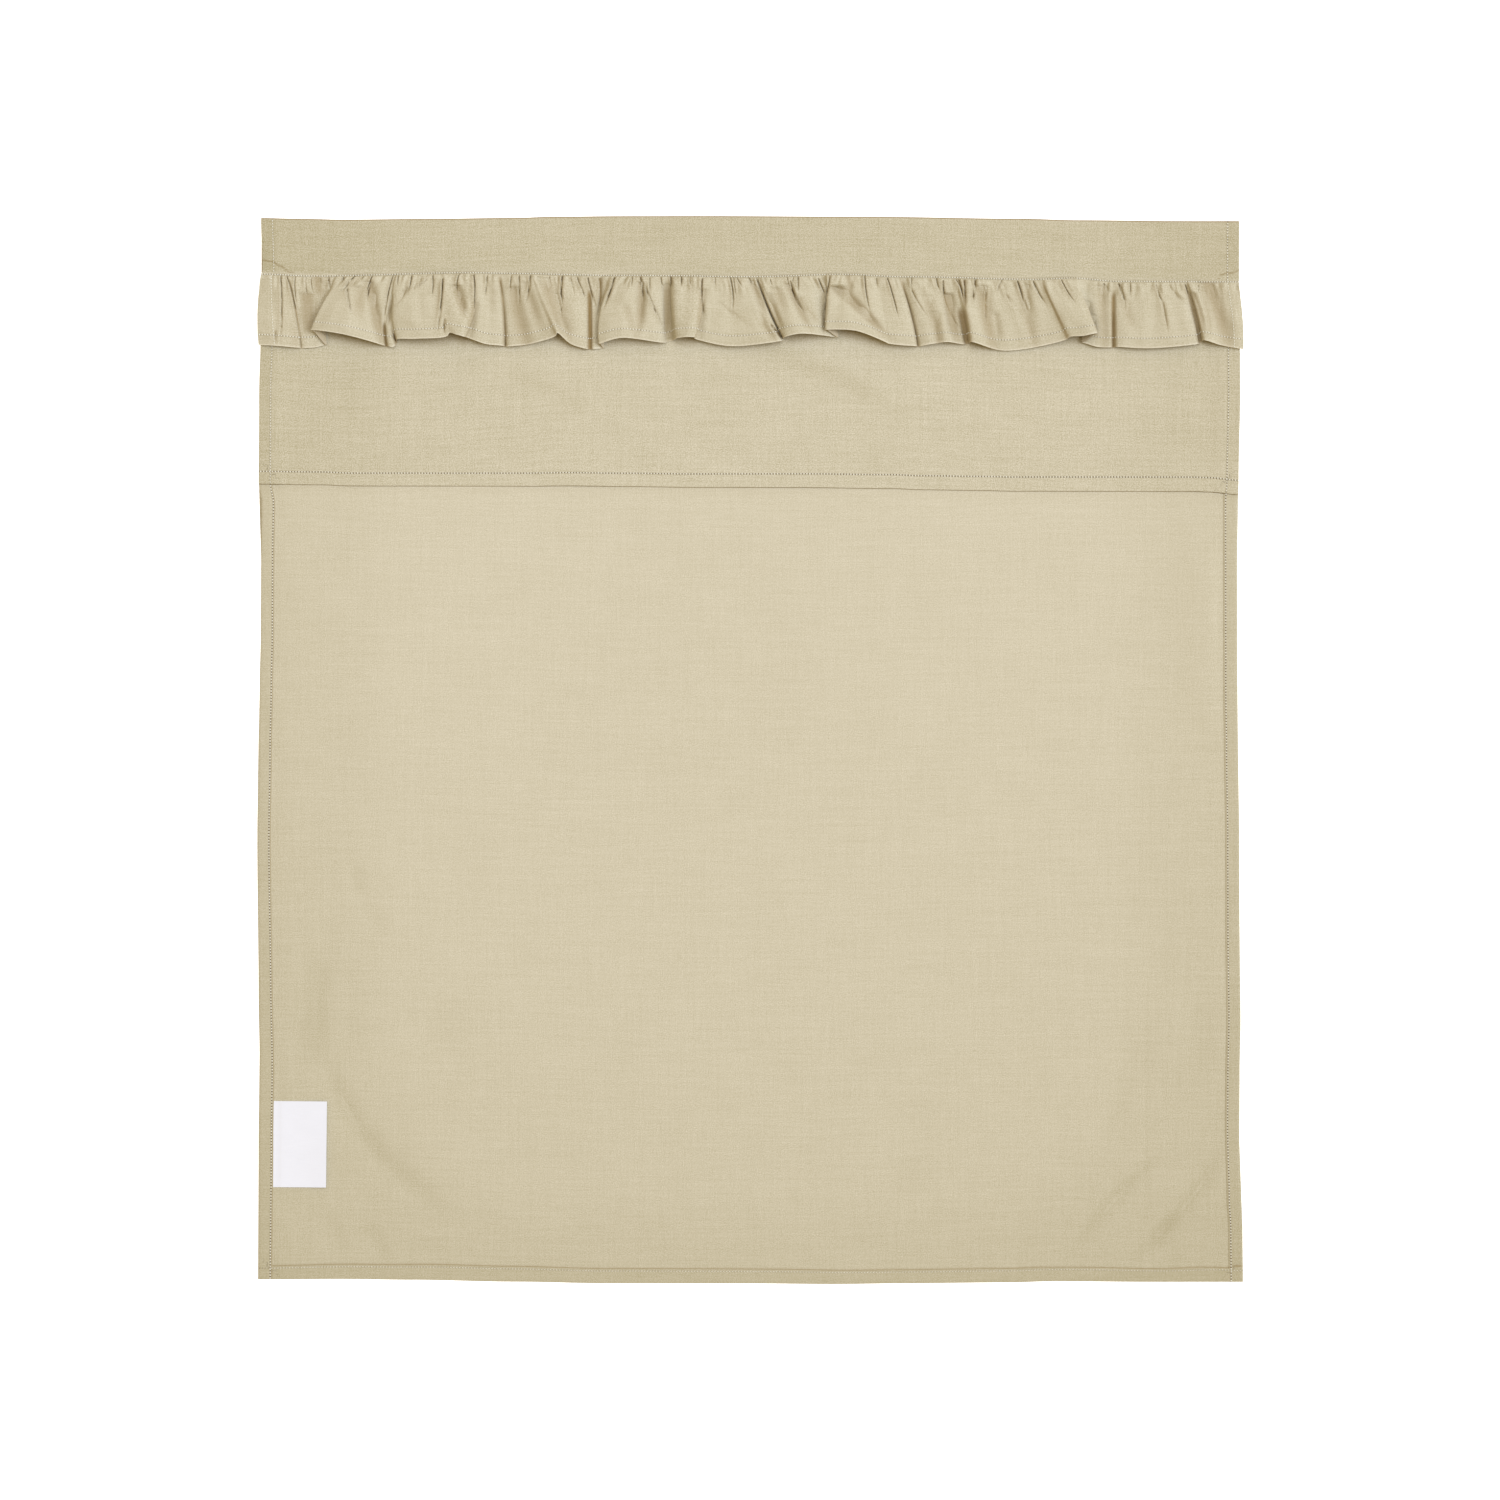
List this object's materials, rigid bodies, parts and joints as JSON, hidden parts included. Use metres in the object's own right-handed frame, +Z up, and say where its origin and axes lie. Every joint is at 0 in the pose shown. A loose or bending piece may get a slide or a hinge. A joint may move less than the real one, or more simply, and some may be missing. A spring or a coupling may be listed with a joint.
{
  "type": "cradle sheet",
  "caption": "Small cotton top sheet laid flat, its head end turned down over the front, with a gathered frill across the turn-down and hems all round.",
  "frame": {"origin": "middle of the underside of the sheet as it lies, on the surface it rests on", "axes": "+X to the right and +Y towards the head end as seen from above, +Z up out of the cloth"},
  "size_m": [0.7551, 0.8185, 0.0172],
  "materials": {
    "cotton": "matte plain weave",
    "frill_cotton": "matte plain weave",
    "label_tape": "smooth woven tape"
  },
  "bodies": {
    "root": {"sheet": "cotton", "frill": "frill_cotton", "care_label": "label_tape"}
  },
  "joints": []
}
